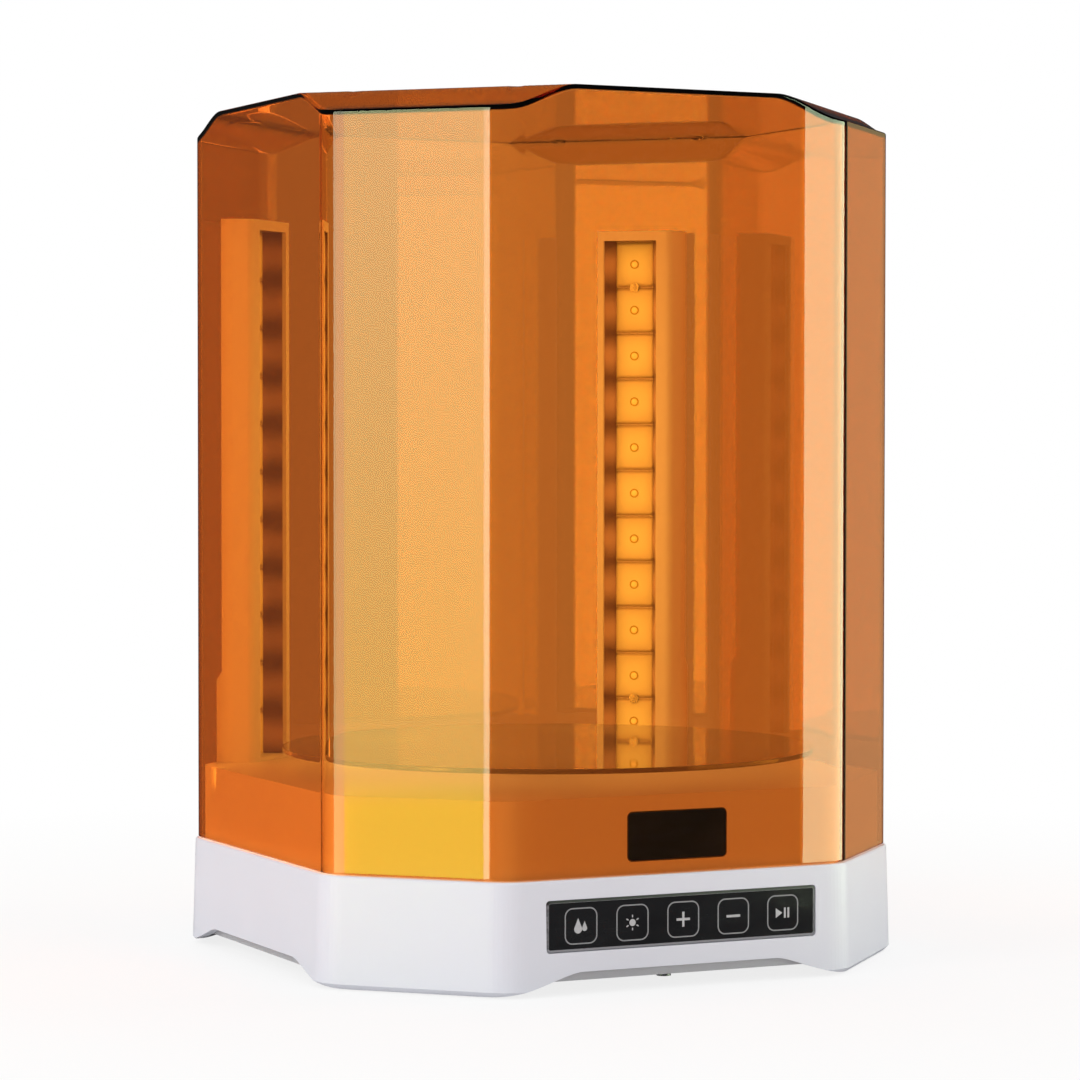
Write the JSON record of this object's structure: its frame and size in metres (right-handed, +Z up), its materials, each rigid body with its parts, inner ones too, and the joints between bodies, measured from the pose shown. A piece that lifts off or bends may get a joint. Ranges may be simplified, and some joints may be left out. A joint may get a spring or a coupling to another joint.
{
  "type": "resin wash and cure station",
  "caption": "Octagonal bench station for washing and UV curing resin prints: white base, touch panel, turntable, two light columns and an amber lift-off cover.",
  "frame": {"origin": "middle of the footprint, on the surface that the rubber feet stand on", "axes": "+Z up, -Y out of the front face with the touch panel, +X to the right of someone facing the panel"},
  "size_m": [0.2548, 0.2548, 0.3459],
  "materials": {
    "white_shell": "satin moulded plastic",
    "white_deck": "satin moulded plastic",
    "dark_plastic": "fine matt texture",
    "grey_plastic": "fine matt texture",
    "foot_rubber": "matt rubber",
    "screw_steel": "zinc plated",
    "panel_black": "gloss",
    "display_black": "smoked gloss",
    "circuit_board": "solder mask",
    "rocker_black": "semi gloss",
    "motor_steel": "plated steel",
    "shaft_steel": "ground",
    "bush_brass": "turned",
    "rotor_plastic": "moulded",
    "magnet_nickel": "nickel plated",
    "clear_acrylic": "clear polished",
    "reflector_sheet": "bright polished",
    "lamp_board": "white solder mask",
    "lamp_chip": "clear lens",
    "amber_acrylic": "clear polished amber"
  },
  "bodies": {
    "base": {"base_shell": "white_shell", "bottom_cover": "grey_plastic", "rubber_feet": "foot_rubber", "bottom_screws": "screw_steel", "deck": "white_deck", "deck_screws": "screw_steel", "control_panel": "panel_black", "touch_board": "circuit_board", "display_window": "display_black", "display_board": "circuit_board", "main_board": "circuit_board", "board_components": "dark_plastic", "board_screws": "screw_steel", "dc_jack": "dark_plastic", "jack_nut": "screw_steel", "power_switch": "dark_plastic", "gear_motor": "motor_steel", "motor_bracket": "motor_steel", "motor_screws": "screw_steel", "bracket_screws": "screw_steel", "shaft_bush": "bush_brass", "column_left": "white_deck", "column_right": "white_deck", "reflector_left": "reflector_sheet", "reflector_right": "reflector_sheet", "led_board_left": "lamp_board", "led_board_right": "lamp_board", "leds_left": "lamp_chip", "leds_right": "lamp_chip", "column_back_left": "white_deck", "column_back_right": "white_deck", "column_screws": "screw_steel", "led_board_screws": "screw_steel", "back_plate_screws": "screw_steel", "cover_sensor": "dark_plastic"},
    "cover": {"cover": "amber_acrylic"},
    "rocker": {"power_rocker": "rocker_black"},
    "drive": {"drive_shaft": "shaft_steel", "drive_rotor": "rotor_plastic", "rotor_magnets": "magnet_nickel", "drive_hub": "dark_plastic"},
    "turntable": {"turntable_hub": "dark_plastic", "turntable_disc": "clear_acrylic"}
  },
  "joints": [
    {"name": "cover_lift", "type": "slide", "parent": "base", "child": "cover", "axis": [0, 0, 1], "range_m": [0, 0.3]},
    {"name": "drive_spin", "type": "hinge", "parent": "base", "child": "drive", "pos_m": [0, -0.0106, 0.06], "axis": [0, 0, 1], "continuous": true},
    {"name": "turntable_lift", "type": "slide", "parent": "drive", "child": "turntable", "axis": [0, 0, 1], "range_m": [0, 0.05]},
    {"name": "rocker_press", "type": "hinge", "parent": "base", "child": "rocker", "pos_m": [-0.03, 0.122, 0.024], "axis": [0, 0, 1], "range_deg": [0, 14]}
  ]
}
